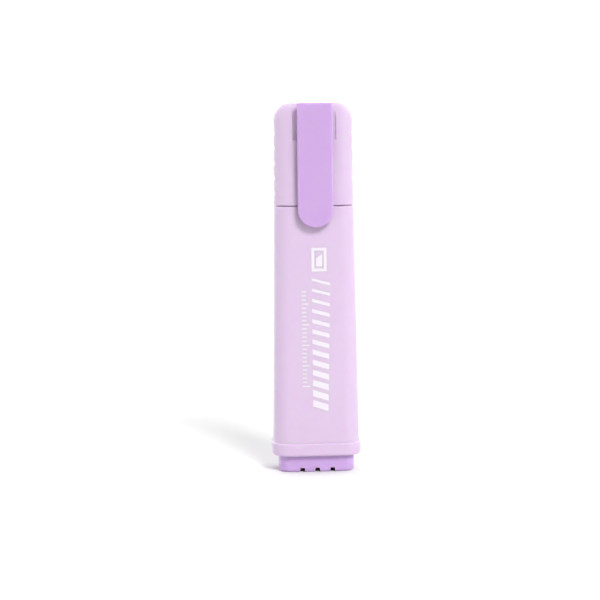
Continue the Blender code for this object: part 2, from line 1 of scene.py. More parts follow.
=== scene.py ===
"""A flat-bodied highlighter on a pale floor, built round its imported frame.

The pen stands on its end plug with the cap on and the clip to the front (-Y). Every piece is made
about the body's own upright axis, takes its place from the frame's nodes and rides on a body.
"""

from __future__ import annotations

import logging
import math
from dataclasses import dataclass
from enum import Enum
from typing import Iterable, Sequence

import bmesh
import bpy
from bmesh.types import BMEdge, BMesh, BMVert
from bpy.types import Material, Node, NodeTree, Object
from mathutils import Matrix, Vector


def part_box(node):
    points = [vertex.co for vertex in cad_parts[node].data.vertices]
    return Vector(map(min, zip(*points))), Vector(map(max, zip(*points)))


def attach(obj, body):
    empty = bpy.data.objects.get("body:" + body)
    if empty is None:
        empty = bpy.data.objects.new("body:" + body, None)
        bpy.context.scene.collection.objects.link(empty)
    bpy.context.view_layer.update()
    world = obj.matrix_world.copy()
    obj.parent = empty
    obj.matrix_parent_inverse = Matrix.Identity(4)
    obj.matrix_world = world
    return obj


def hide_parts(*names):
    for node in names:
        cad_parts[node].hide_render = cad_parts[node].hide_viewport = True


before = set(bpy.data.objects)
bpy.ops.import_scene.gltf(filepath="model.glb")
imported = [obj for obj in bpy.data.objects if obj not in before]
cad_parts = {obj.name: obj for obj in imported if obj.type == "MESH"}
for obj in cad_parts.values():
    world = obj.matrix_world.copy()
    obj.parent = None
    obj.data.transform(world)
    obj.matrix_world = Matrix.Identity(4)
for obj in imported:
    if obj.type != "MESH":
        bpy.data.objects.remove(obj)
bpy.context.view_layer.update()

MM = 0.001
log = logging.getLogger("highlighter")


# ---- Colour and nodes ----
def linear(code: str) -> tuple[float, float, float, float]:
    """Turns an sRGB hex colour into the linear colour that a shader takes.

    Args:
        code: six hex digits, with or without a leading #.

    Returns:
        Red, green, blue and an alpha of 1.
    """
    parts = [int(code.lstrip("#")[start:start + 2], 16) / 255 for start in (0, 2, 4)]
    red, green, blue = (p / 12.92 if p <= 0.04045 else ((p + 0.055) / 1.055) ** 2.4 for p in parts)
    return red, green, blue, 1.0


def feed(node: Node, **inputs: object) -> None:
    """Sets or links a node's inputs.

    Args:
        node: the node.
        inputs: socket name, with _ for a space, to a value or to the socket that feeds it.
    """
    for name, value in inputs.items():
        socket = node.inputs[name.replace("_", " ")]
        if isinstance(value, bpy.types.NodeSocket):
            node.id_data.links.new(value, socket)
        else:
            socket.default_value = value


def add_node(tree: NodeTree, kind: str, settings: dict | None = None, **inputs: object) -> Node:
    """Adds a node and sets it up.

    Args:
        tree: the node tree.
        kind: the node's type, such as ShaderNodeTexNoise.
        settings: property name to value.
        inputs: as feed takes them.

    Returns:
        The new node.
    """
    node = tree.nodes.new(kind)
    for name, value in (settings or {}).items():
        setattr(node, name, value)
    feed(node, **inputs)
    return node


def blank_material(name: str) -> tuple[Material, NodeTree, Node]:
    """A material with only a Principled shader and its output.

    Args:
        name: what the material is.

    Returns:
        The material, its tree and the shader node.
    """
    material = bpy.data.materials.new(name)
    material.use_nodes = True
    tree = material.node_tree
    tree.nodes.clear()
    shader = add_node(tree, "ShaderNodeBsdfPrincipled")
    add_node(tree, "ShaderNodeOutputMaterial", Surface=shader.outputs["BSDF"])
    return material, tree, shader


@dataclass(frozen=True)
class MouldedPlastic:
    """Injection-moulded polypropylene: a satin skin copied from a fine spark-eroded mould.

    The eye sees a soft broad highlight, a slight waxy glow at thin edges and gaps, and a very
    slight change of tone where the melt flowed.
    """

    name: str
    colour: str
    flow_colour: str
    roughness: float = 0.34
    glow: float = 0.8
    glow_depth: float = 1.6 * MM
    glow_tint: tuple[float, float, float] = (1.0, 0.5, 1.2)  # red and blue travel furthest
    rim: float = 0.35  # waxy plastic pales where it turns away, as a light sheen does
    rim_spread: float = 0.3
    grain: float = 0.28 * MM  # real spark grain is about 0.05 mm; drawn coarse enough to show
    grain_height: float = 0.004 * MM
    handled: float = 3 * MM  # size of the patches that handling has left a little glossier
    flow: float = 30 * MM
    ior: float = 1.49

    def material(self) -> Material:
        """Builds the node material.

        Returns:
            The material.
        """
        material, tree, shader = blank_material(self.name)
        place = add_node(tree, "ShaderNodeTexCoord").outputs["Object"]
        flow = add_node(tree, "ShaderNodeTexNoise", Vector=place, Scale=1 / self.flow, Detail=2.0)
        tone = add_node(tree, "ShaderNodeMix", {"data_type": "RGBA"}, Factor=flow.outputs["Fac"])
        tone.inputs[6].default_value = linear(self.colour)
        tone.inputs[7].default_value = linear(self.flow_colour)
        grain = add_node(tree, "ShaderNodeTexNoise", Vector=place, Scale=1 / self.grain, Detail=3.0)
        wear = add_node(tree, "ShaderNodeTexNoise", Vector=place, Scale=1 / self.handled,
                        Detail=4.0)
        gloss = add_node(tree, "ShaderNodeMapRange", Value=wear.outputs["Fac"],
                         To_Min=self.roughness - 0.05, To_Max=self.roughness + 0.06)
        bump = add_node(tree, "ShaderNodeBump", Height=grain.outputs["Fac"], Strength=0.6,
                        Distance=self.grain_height)
        feed(shader, Base_Color=tone.outputs[2], Roughness=gloss.outputs["Result"],
             Normal=bump.outputs["Normal"], IOR=self.ior, Subsurface_Weight=self.glow,
             Subsurface_Scale=self.glow_depth, Subsurface_Radius=self.glow_tint,
             Sheen_Weight=self.rim, Sheen_Roughness=self.rim_spread)
        return material


@dataclass(frozen=True)
class BondedFibre:
    """Polyester fibres laid along the pen, bonded and soaked with ink: matt, finely streaked."""

    name: str
    colour: str
    dark_colour: str
    strand: float = 0.12 * MM  # a real fibre is about 0.02 mm; drawn as bundles that show
    run: float = 3.0 * MM
    height: float = 0.03 * MM
    roughness: float = 0.85
    fuzz: float = 0.2

    def material(self) -> Material:
        """Builds the node material.

        Returns:
            The material.
        """
        material, tree, shader = blank_material(self.name)
        place = add_node(tree, "ShaderNodeTexCoord").outputs["Object"]
        laid = add_node(tree, "ShaderNodeMapping", Vector=place,
                        Scale=(1 / self.strand, 1 / self.strand, 1 / self.run))
        streak = add_node(tree, "ShaderNodeTexNoise", Vector=laid.outputs["Vector"], Scale=1.0,
                          Detail=4.0, Roughness=0.6)
        tone = add_node(tree, "ShaderNodeMix", {"data_type": "RGBA"}, Factor=streak.outputs["Fac"])
        tone.inputs[6].default_value = linear(self.dark_colour)
        tone.inputs[7].default_value = linear(self.colour)
        bump = add_node(tree, "ShaderNodeBump", Height=streak.outputs["Fac"], Strength=0.8,
                        Distance=self.height)
        feed(shader, Base_Color=tone.outputs[2], Normal=bump.outputs["Normal"],
             Roughness=self.roughness, Sheen_Weight=self.fuzz)
        return material


@dataclass(frozen=True)
class PadPrint:
    """Pad-printed white ink: a thin flat film, a little less glossy than the plastic under it."""

    name: str
    colour: str
    speck: float = 0.5 * MM
    roughness: tuple[float, float] = (0.42, 0.55)

    def material(self) -> Material:
        """Builds the node material.

        Returns:
            The material.
        """
        material, tree, shader = blank_material(self.name)
        place = add_node(tree, "ShaderNodeTexCoord").outputs["Object"]
        speck = add_node(tree, "ShaderNodeTexNoise", Vector=place, Scale=1 / self.speck, Detail=2.0)
        gloss = add_node(tree, "ShaderNodeMapRange", Value=speck.outputs["Fac"],
                         To_Min=self.roughness[0], To_Max=self.roughness[1])
        feed(shader, Base_Color=linear(self.colour), Roughness=gloss.outputs["Result"])
        return material


@dataclass(frozen=True)
class ClearFilm:
    """Clear polypropylene film: thin, glossy, with faint lengthwise wrinkles."""

    name: str
    colour: str
    wrinkles: tuple[float, float, float] = (900.0, 900.0, 60.0)  # 1.1 mm apart and 17 mm long
    wrinkle_height: float = 0.05 * MM
    roughness: float = 0.15
    clearness: float = 0.8

    def material(self) -> Material:
        """Builds the node material.

        Returns:
            The material.
        """
        material, tree, shader = blank_material(self.name)
        place = add_node(tree, "ShaderNodeTexCoord").outputs["Object"]
        laid = add_node(tree, "ShaderNodeMapping", Vector=place, Scale=self.wrinkles)
        fold = add_node(tree, "ShaderNodeTexNoise", Vector=laid.outputs["Vector"], Scale=1.0)
        bump = add_node(tree, "ShaderNodeBump", Height=fold.outputs["Fac"], Strength=0.4,
                        Distance=self.wrinkle_height)
        feed(shader, Base_Color=linear(self.colour), Normal=bump.outputs["Normal"],
             Roughness=self.roughness, Transmission_Weight=self.clearness)
        return material


class Finish(Enum):
    """The finishes that the pen's pieces take."""

    PALE = MouldedPlastic("polypropylene_pale_lilac_moulded", "#C3AFC7", "#C0ACC6")
    LILAC = MouldedPlastic("polypropylene_lilac_moulded", "#B495C2", "#B192C1")
    PLUG = MouldedPlastic("polypropylene_deep_lilac_moulded", "#B99AC9", "#B697C8")
    NATURAL = MouldedPlastic("polyethylene_natural_moulded", "#DAD5DC", "#D5D0D9", roughness=0.45)
    NIB = BondedFibre("polyester_fibre_nib_inked", "#B98AD0", "#9C66BA")
    CORE = BondedFibre("polyester_fibre_core_inked", "#BE97D2", "#A677C0")
    PRINT = PadPrint("pad_print_white", "#CBC5CE")
    FILM = ClearFilm("polypropylene_film_clear", "#F3F0F5")


_made: dict[Finish, Material] = {}


def dressed(finish: Finish) -> Material:
    """The material of a finish, built once.

    Args:
        finish: which finish.

    Returns:
        Its material.
    """
    if finish not in _made:
        _made[finish] = finish.value.material()
    return _made[finish]


# ---- Plan sections and lofts ----
CORNER_STEPS = 10
SIDE_STEPS = 8
LEAST_CORNER = 1.0 * MM
JOIN = 0.0001 * MM  # points of a loft's seam this near are one
SPIN_JOIN = 0.0005 * MM  # and so are those on a turned piece's axis
# Points across the wide faces, each side of the middle: close together where the cap's sunk panel
# has its edge.
STATIONS = tuple(x * MM for x in (0.9, 1.8, 2.7, 3.6, 4.5, 5.3, 5.9, 6.05, 6.15, 6.25, 6.35, 6.45,
                                  6.55, 6.65, 6.75, 6.87))
STATION_MARGIN = 0.05 * MM


def edge_round(count: int) -> list[tuple[float, float]]:
    """Shares (inset, rise) along a quarter-round edge, from the side to the flat."""
    angles = [math.pi / 2 * step / count for step in range(count + 1)]
    return [(1 - math.cos(angle), math.sin(angle)) for angle in angles]


@dataclass(frozen=True)
class Plan:
    """One plan section: a rounded rectangle whose four faces bulge a little."""

    width: float
    depth: float
    corner: float
    crown: float = 0.5 * MM
    side_crown: float = 0.2 * MM

    def inset(self, across: float, through: float | None = None) -> Plan:
        """The section pulled in from its narrow sides and its wide faces.

        Args:
            across: how far each narrow side moves in.
            through: how far each wide face moves in; the same as `across` if left out.

        Returns:
            The smaller section.
        """
        through = across if through is None else through
        corner = max(self.corner - max(across, through), LEAST_CORNER)
        return Plan(self.width - 2 * across, self.depth - 2 * through, corner, self.crown,
                    self.side_crown)

    def front(self, x: float) -> float:
        """How far the wide face stands from the middle at a place across it."""
        flat = self.width / 2 - self.side_crown
        return self.depth / 2 - self.crown * (x / flat) ** 2

    def points(self) -> list[tuple[float, float]]:
        """Points round the section, anticlockwise, as many on every section.

        Returns:
            (x, y) points about the section's middle.
        """
        flat_x, flat_y = self.width / 2 - self.side_crown, self.depth / 2 - self.crown
        reach_x, reach_y = flat_x - self.corner, flat_y - self.corner
        squeeze = min(1.0, reach_x / (STATIONS[-1] + STATION_MARGIN))
        half = [x * squeeze for x in STATIONS]
        wide = [-x for x in reversed(half)] + [0.0] + half
        narrow = [reach_y * (2 * step / SIDE_STEPS - 1) for step in range(1, SIDE_STEPS)]
        found: list[tuple[float, float]] = []
        for turn, (side, front) in enumerate(((1, 1), (-1, 1), (-1, -1), (1, -1))):
            for step in range(CORNER_STEPS + 1):
                angle = math.pi / 2 * (turn + step / CORNER_STEPS)
                found.append((side * reach_x + self.corner * math.cos(angle),
                              front * reach_y + self.corner * math.sin(angle)))
            if turn % 2:
                found += [(side * flat_x, side * y) for y in narrow]
            else:
                found += [(-front * x, front * flat_y) for x in wide]
        return [
            (x * (1 + self.side_crown / flat_x * (1 - (y / flat_y) ** 2)),
             y * (1 + self.crown / flat_y * (1 - (x / flat_x) ** 2)))
            for x, y in found
        ]

    def ring(self, height: float) -> list[Vector]:
        """The section's points at a height."""
        return [Vector((x, y, height)) for x, y in self.points()]

    def rounded(self, across: float, flat: float, up: float, count: int) -> list[list[Vector]]:
        """Rings along a quarter-round edge, from the section's side to its flat end.

        Args:
            across: how far the edge goes in; negative where it opens out.
            flat: the flat end's height.
            up: how far above the flat end the side starts; negative for a top edge.
            count: steps along the edge.

        Returns:
            The rings.
        """
        return [self.inset(across * inset).ring(flat + up * (1 - rise))
                for inset, rise in edge_round(count)]

    def circle(self, radius: float, height: float) -> list[Vector]:
        """A circle with a point in the direction of each of the section's points."""
        return [radius * Vector((x, y, 0)).normalized() + Vector((0, 0, height))
                for x, y in self.points()]


def smooth(value: float) -> float:
    """A smooth step from 0 to 1 as value goes from 0 to 1."""
    value = min(max(value, 0.0), 1.0)
    return value * value * (3 - 2 * value)


def loft(rings: Sequence[Sequence[Vector]], closed: bool = False) -> BMesh:
    """Extrudes one ring of points from the next, the whole way along a shell.

    Args:
        rings: rings with equal numbers of points.
        closed: whether the last ring runs on into the first; otherwise both ends are filled.

    Returns:
        A closed mesh with its faces outwards.
    """
    bm = bmesh.new()
    bmesh.ops.create_circle(bm, cap_ends=False, segments=len(rings[0]), radius=1.0)
    bm.verts.ensure_lookup_table()
    first = current = list(bm.verts)
    for vert, point in zip(current, rings[0]):
        vert.co = point
    for ring in list(rings[1:]) + ([rings[0]] if closed else []):
        edges = [bm.edges.get((a, b)) for a, b in zip(current, current[1:] + current[:1])]
        made = bmesh.ops.extrude_edge_only(bm, edges=edges)
        fresh = {item for item in made["geom"] if isinstance(item, BMVert)}
        current = [next(edge.other_vert(vert) for edge in vert.link_edges
                        if edge.other_vert(vert) in fresh) for vert in current]
        for vert, point in zip(current, ring):
            vert.co = point
    if closed:
        bmesh.ops.remove_doubles(bm, verts=first + current, dist=JOIN)
    else:
        for end in (first, current):
            edges = [bm.edges.get((a, b)) for a, b in zip(end, end[1:] + end[:1])]
            bmesh.ops.edgeloop_fill(bm, edges=edges)
    return outwards(bm)


def outwards(bm: BMesh) -> BMesh:
    """Points every face of a closed mesh outwards and hands the mesh back.

    Args:
        bm: the mesh.

    Returns:
        The same mesh.
    """
    bmesh.ops.recalc_face_normals(bm, faces=bm.faces)
    if bm.calc_volume(signed=True) < 0:
        bmesh.ops.reverse_faces(bm, faces=bm.faces)
    return bm


def round_edges(bm: BMesh, edges: Iterable[BMEdge], width: float, segments: int) -> None:
    """Rounds edges of a mesh over a width."""
    bmesh.ops.bevel(bm, geom=list(edges), offset=width, segments=segments, profile=0.5,
                    affect="EDGES", material=-1)


def block(low: Sequence[float], high: Sequence[float], edge: float = 0.0) -> BMesh:
    """A rectangular solid between two corners, with rounded edges if asked.

    Args:
        low: its lowest corner.
        high: its highest corner.
        edge: how wide its edges are rounded; 0 leaves them sharp.

    Returns:
        The solid.
    """
    bm = bmesh.new()
    bmesh.ops.create_cube(bm, size=1.0)
    bmesh.ops.scale(bm, vec=[b - a for a, b in zip(low, high)], verts=bm.verts)
    bmesh.ops.translate(bm, vec=[(a + b) / 2 for a, b in zip(low, high)], verts=bm.verts)
    if edge:
        round_edges(bm, bm.edges, edge, 3)
    return bm


def extruded(points: Iterable[Vector], along: Vector) -> BMesh:
    """A solid made by moving a flat polygon along a vector.

    Args:
        points: the polygon's corners in order.
        along: the way it moves.

    Returns:
        The solid.
    """
    bm = bmesh.new()
    face = bm.faces.new([bm.verts.new(point) for point in points])
    made = bmesh.ops.extrude_face_region(bm, geom=[face])
    moved = [item for item in made["geom"] if isinstance(item, BMVert)]
    bmesh.ops.translate(bm, vec=along, verts=moved)
    return outwards(bm)


def turned(profile: Sequence[tuple[float, float]], steps: int = 96) -> BMesh:
    """A solid turned about Z from (radius, height) points that start and end on the axis.

    Args:
        profile: the points.
        steps: how many facets go round.

    Returns:
        The solid.
    """
    bm = bmesh.new()
    verts = [bm.verts.new((radius, 0, height)) for radius, height in profile]
    edges = [bm.edges.new(pair) for pair in zip(verts, verts[1:])]
    bmesh.ops.spin(bm, geom=verts + edges, axis=(0, 0, 1), cent=(0, 0, 0), steps=steps,
                   angle=math.tau, use_merge=True)
    bmesh.ops.remove_doubles(bm, verts=bm.verts, dist=SPIN_JOIN)
    return outwards(bm)


# ---- The pen's frame ----
@dataclass(frozen=True)
class Frame:
    """Places that every sub-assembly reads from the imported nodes."""

    axis_y: float
    flange_foot: float
    barrel_top: float
    neck_top: float
    cap_foot: float
    cap_top: float

    @classmethod
    def read(cls, seam_gap: float = 0.35 * MM) -> Frame:
        """Reads the places from the nodes' boxes.

        Args:
            seam_gap: how wide the joint between cap and shoulder is.

        Returns:
            The frame.
        """
        core, barrel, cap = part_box("reservoir_core"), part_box("barrel"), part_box("cap_shell")
        cap_foot = cap[0][2]
        return cls((core[0][1] + core[1][1]) / 2, barrel[0][2], cap_foot - seam_gap, barrel[1][2],
                   cap_foot, cap[1][2])


def finished(name: str, bm: BMesh, finish: Finish, at: Frame, sharp: float = 40.0) -> Object:
    """Makes a piece's object from a mesh built about the body's axis.

    Args:
        name: the piece's name.
        bm: its mesh, which is used up.
        finish: what it is made of.
        at: the pen's frame.
        sharp: the angle in degrees over which an edge stays sharp.

    Returns:
        The object, at the origin, with its place in its mesh.
    """
    bmesh.ops.translate(bm, vec=(0, at.axis_y, 0), verts=bm.verts)
    mesh = bpy.data.meshes.new(name)
    bm.to_mesh(mesh)
    bm.free()
    mesh.materials.append(dressed(finish))
    obj = bpy.data.objects.new(name, mesh)
    bpy.context.scene.collection.objects.link(obj)
    mesh.shade_smooth()
    mesh.set_sharp_from_angle(angle=math.radians(sharp))
    weighted = obj.modifiers.new("face_weighted_normals", "WEIGHTED_NORMAL")
    weighted.keep_sharp = True
    weighted.weight = 90
    return obj


def combined(target: BMesh, operation: str, others: Sequence[BMesh]) -> BMesh:
    """Adds solids to a mesh, or cuts them away, and hands back the new mesh.

    Args:
        target: the mesh that is changed, which is used up.
        operation: UNION or DIFFERENCE.
        others: the solids, which are used up.

    Returns:
        The result.
    """
    host = _helper("combine_host", target)
    tools = [_helper(f"combine_tool_{number}", other) for number, other in enumerate(others)]
    for tool in tools:
        modifier = host.modifiers.new(tool.name, "BOOLEAN")
        modifier.operation, modifier.object, modifier.solver = operation, tool, "EXACT"
    bpy.context.view_layer.update()
    graph = bpy.context.evaluated_depsgraph_get()
    result = bmesh.new()
    result.from_mesh(bpy.data.meshes.new_from_object(host.evaluated_get(graph)))
    for helper in [host, *tools]:
        mesh = helper.data
        bpy.data.objects.remove(helper, do_unlink=True)
        bpy.data.meshes.remove(mesh)
    # The Boolean can leave a hair-thin triangle out of a wall, and that closes it.
    bmesh.ops.holes_fill(result, edges=[edge for edge in result.edges if edge.is_boundary], sides=0)
    return result


def _helper(name: str, bm: BMesh) -> Object:
    """A short-lived object that holds a mesh for a Boolean.

    Args:
        name: the object's name.
        bm: the mesh, which is used up.

    Returns:
        The object.
    """
    mesh = bpy.data.meshes.new(name)
    bm.to_mesh(mesh)
    bm.free()
    obj = bpy.data.objects.new(name, mesh)
    bpy.context.scene.collection.objects.link(obj)
    return obj


def mount(piece: Object, body: str, node: str | None = None) -> Object:
    """Rides a piece on its body, and hides the node that it stands for.

    Args:
        piece: the finished piece.
        body: the body that carries it.
        node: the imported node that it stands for, if any.

    Returns:
        The piece.
    """
    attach(piece, body)
    if node:
        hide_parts(node)
    log.info("%s rides on %s, %d faces", piece.name, body, len(piece.data.polygons))
    return piece


# ---- Barrel ----
@dataclass
class Barrel:
    """The long shell: flange and open mouth at the rear, shoulder and neck at the front."""

    at: Frame
    top: Plan = Plan(24.1 * MM, 15.4 * MM, 4.4 * MM)
    rear: Plan = Plan(26.1 * MM, 16.8 * MM, 4.4 * MM)
    mouth: Plan = Plan(23.5 * MM, 14.2 * MM, 3.1 * MM)
    flange_height: float = 4.0 * MM
    fillet_height: float = 0.95 * MM
    fillet_steps: int = 8
    flange_step: float = 0.55 * MM
    foot_round: float = 0.8 * MM
    mouth_lead: float = 0.2 * MM
    lip_round: float = 0.4 * MM
    shoulder_round: float = 0.22 * MM
    lip_inset: float = 0.5 * MM
    lip_rise: float = 0.2 * MM
    neck_inset: float = 1.65 * MM
    neck_lead: float = 0.5 * MM
    neck_fillet: float = 0.1 * MM
    bead_height: float = 0.1 * MM
    bead_half: float = 0.5 * MM
    bead_over_shoulder: float = 4.2 * MM
    bore: float = 4.5 * MM
    bore_lead: float = 0.2 * MM
    wall: float = 1.8 * MM
    neck_wall: float = 1.3 * MM
    insert: float = 8.3 * MM
    wall_steps: int = 18

    def plan(self, height: float) -> Plan:
        """The barrel's section at a height above the flange: it widens evenly to the rear.

        Args:
            height: a height above the floor.

        Returns:
            The section there.
        """
        flange_top = self.at.flange_foot + self.flange_height
        share = (height - flange_top) / (self.at.barrel_top - flange_top)
        return Plan(self.rear.width + (self.top.width - self.rear.width) * share,
                    self.rear.depth + (self.top.depth - self.rear.depth) * share, self.rear.corner)

    def front_y(self, x: float, height: float) -> float:
        """Where the front face lies at a place on it."""
        return -self.plan(height).front(x)

    def flange_rings(self) -> list[list[Vector]]:
        """Rings from the mouth's inner edge round the flange to the wall above it.

        Returns:
            The rings in order.
        """
        foot, top = self.at.flange_foot, self.at.flange_foot + self.flange_height
        proud = self.plan(top).inset(-self.flange_step)
        lead = self.mouth_lead
        rings = [self.mouth.ring(foot + lead),
                 self.mouth.inset(-lead * 0.3).ring(foot + lead * 0.3),
                 self.mouth.inset(-lead).ring(foot)]
        rings += reversed(proud.rounded(self.foot_round, foot, self.foot_round, 7))
        rings += proud.rounded(self.lip_round, top, -self.lip_round, 5)
        left = self.flange_step - self.lip_round
        for step in range(1, self.fillet_steps + 1):
            angle = math.pi / 2 * step / self.fillet_steps
            grow, rise = left * (1 - math.sin(angle)), self.fillet_height * (1 - math.cos(angle))
            rings.append(self.plan(top + rise).inset(-grow).ring(top + rise))
        return rings

    def rings(self) -> list[list[Vector]]:
        """All rings: round the flange, up the outside, over the neck and down the inside.

        Returns:
            The rings in order, as a closed run.
        """
        rings = self.flange_rings()
        low = self.at.flange_foot + self.flange_height + self.fillet_height
        high = self.at.barrel_top - self.shoulder_round
        for step in range(1, self.wall_steps + 1):
            height = low + (high - low) * step / self.wall_steps
            rings.append(self.plan(height).ring(height))
        top = self.at.barrel_top
        rings += self.plan(top).rounded(self.shoulder_round, top, -self.shoulder_round, 4)[1:]
        neck = self.top.inset(self.neck_inset)
        lip = self.top.inset(self.lip_inset)
        rings += [lip.ring(top), lip.inset(self.lip_rise / 4).ring(top + self.lip_rise),
                  neck.inset(-self.neck_fillet).ring(top + self.lip_rise),
                  neck.ring(top + self.lip_rise + self.neck_fillet)]
        bead_at = top + self.bead_over_shoulder
        for step in range(9):
            lean = step / 4 - 1
            swell = self.bead_height * 0.5 * (1 + math.cos(math.pi * lean))
            rings.append(neck.inset(-swell).ring(bead_at + self.bead_half * lean))
        crest = self.at.neck_top
        rings += neck.rounded(self.neck_lead, crest, -self.neck_lead, 5)
        rings += [neck.circle(self.bore + self.bore_lead, crest),
                  neck.circle(self.bore, crest - self.bore_lead)]
        under = crest - self.neck_wall
        room = neck.inset(self.neck_wall)
        inner = self.plan(top - self.wall).inset(self.wall)
        step_at = self.at.flange_foot + self.insert
        rings += [neck.circle(self.bore, under), room.ring(under), room.ring(top - self.wall),
                  inner.ring(top - self.wall), self.plan(step_at).inset(self.wall).ring(step_at),
                  self.mouth.ring(step_at)]
        return rings

    def build(self) -> Object:
        """Makes the barrel."""
        piece = finished("barrel_moulding", loft(self.rings(), closed=True), Finish.PALE, self.at)
        return mount(piece, "pen_body", "barrel")


# ---- Print on the barrel ----
@dataclass
class FrontPrint:
    """A plain white decoration: slanted bars that thicken, a ruler's ticks, and a framed nib."""

    barrel: Barrel
    film: float = 0.02 * MM
    sunk: float = 0.08 * MM
    bar_left: float = -1.3 * MM
    bar_right: float = 4.3 * MM
    bar_low: float = 19.4 * MM
    bar_high: float = 59.4 * MM
    bar_count: int = 13
    bar_slant: float = 1.5 * MM
    bar_thin: float = 0.8 * MM
    bar_thick: float = 2.1 * MM
    bar_shrink: float = 0.9 * MM
    tick_x: float = -4.4 * MM
    tick_low: float = 26.4 * MM
    tick_pitch: float = 1.25 * MM
    tick_count: int = 24
    tick_short: float = 1.4 * MM
    tick_long: float = 2.2 * MM
    tick_width: float = 0.42 * MM
    badge_left: float = -1.3 * MM
    badge_right: float = 3.3 * MM
    badge_low: float = 61.4 * MM
    badge_high: float = 68.6 * MM
    badge_line: float = 0.9 * MM
    tip_half: float = 0.95 * MM
    tip_heights: tuple[float, float] = (1.7 * MM, 0.4 * MM)  # its corners, under its space's top
    follow: float = 0.6 * MM  # how often a shape is cut across to follow the bulge

    def flat(self, *outlines: Sequence[tuple[float, float]], bm: BMesh | None = None) -> BMesh:
        """Flat faces from outlines; each outline is (x, height) points.

        Args:
            outlines: one or more runs of points.
            bm: the mesh that gets them; a new one if left out.

        Returns:
            The mesh.
        """
        bm = bm or bmesh.new()
        for outline in outlines:
            bm.faces.new([bm.verts.new((x, 0, height)) for x, height in outline])
        bm.normal_update()
        return bm

    def laid(self, bm: BMesh) -> BMesh:
        """Gives a flat shape its thickness and lays it on the front face.

        Args:
            bm: the flat shape, facing the front.

        Returns:
            The same mesh, closed.
        """
        cuts = int(self.barrel.top.width / 2 / self.follow)
        for number in range(-cuts, cuts + 1):
            bmesh.ops.bisect_plane(bm, geom=[*bm.verts, *bm.edges, *bm.faces],
                                   plane_co=(number * self.follow, 0, 0), plane_no=(1, 0, 0))
        made = bmesh.ops.extrude_face_region(bm, geom=bm.faces[:])
        raised = {item for item in made["geom"] if isinstance(item, BMVert)}
        for vert in bm.verts:
            out = self.film if vert in raised else -self.sunk
            vert.co.y = self.barrel.front_y(vert.co.x, vert.co.z) - out
        return outwards(bm)

    def bars(self) -> BMesh:
        """The slanted bars, thin under the cap and thick towards the rear.

        Returns:
            The bars as one mesh.
        """
        outlines = []
        pitch = (self.bar_high - self.bar_low) / self.bar_count
        for number in range(self.bar_count):
            share = number / (self.bar_count - 1)
            thick = self.bar_thin + (self.bar_thick - self.bar_thin) * share
            right = self.bar_right - self.bar_shrink * share
            high = self.bar_high - pitch * number
            outlines.append([(self.bar_left, high - thick), (right, high - thick - self.bar_slant),
                             (right, high - self.bar_slant), (self.bar_left, high)])
        return self.laid(self.flat(*outlines))

    def ticks(self) -> BMesh:
        """A short ruler: every fifth tick is longer.

        Returns:
            The ticks as one mesh.
        """
        outlines = []
        for number in range(self.tick_count):
            foot = self.tick_low + number * self.tick_pitch
            length = self.tick_short if number % 5 else self.tick_long
            outlines.append([(self.tick_x, foot), (self.tick_x + length, foot),
                             (self.tick_x + length, foot + self.tick_width),
                             (self.tick_x, foot + self.tick_width)])
        return self.laid(self.flat(*outlines))

    def badge(self) -> BMesh:
        """A plain frame of four bars round a chisel tip.

        Returns:
            The frame and the tip as one mesh.
        """
        left, right, low, high = self.badge_left, self.badge_right, self.badge_low, self.badge_high
        line = self.badge_line
        bm = self.flat([(left, low), (right, low), (right, high), (left, high)])
        middle = bm.faces[:]
        bmesh.ops.inset_region(bm, faces=middle, thickness=line, use_boundary=True,
                               use_even_offset=True)
        bmesh.ops.delete(bm, geom=middle, context="FACES_ONLY")
        centre, base, top = (left + right) / 2, low + 1.7 * line, high - 1.7 * line
        start, end = centre - self.tip_half, centre + self.tip_half
        tip = [(start, base), (end, base), (end, top - self.tip_heights[1]),
               (start, top - self.tip_heights[0])]
        return self.laid(self.flat(tip, bm=bm))

    def build(self) -> list[Object]:
        """Makes each printed shape."""
        shapes = {"print_bars": self.bars(), "print_ticks": self.ticks(),
                  "print_badge": self.badge()}
        return [mount(finished(name, bm, Finish.PRINT, self.barrel.at, sharp=30.0), "pen_body") for name, bm in shapes.items()]


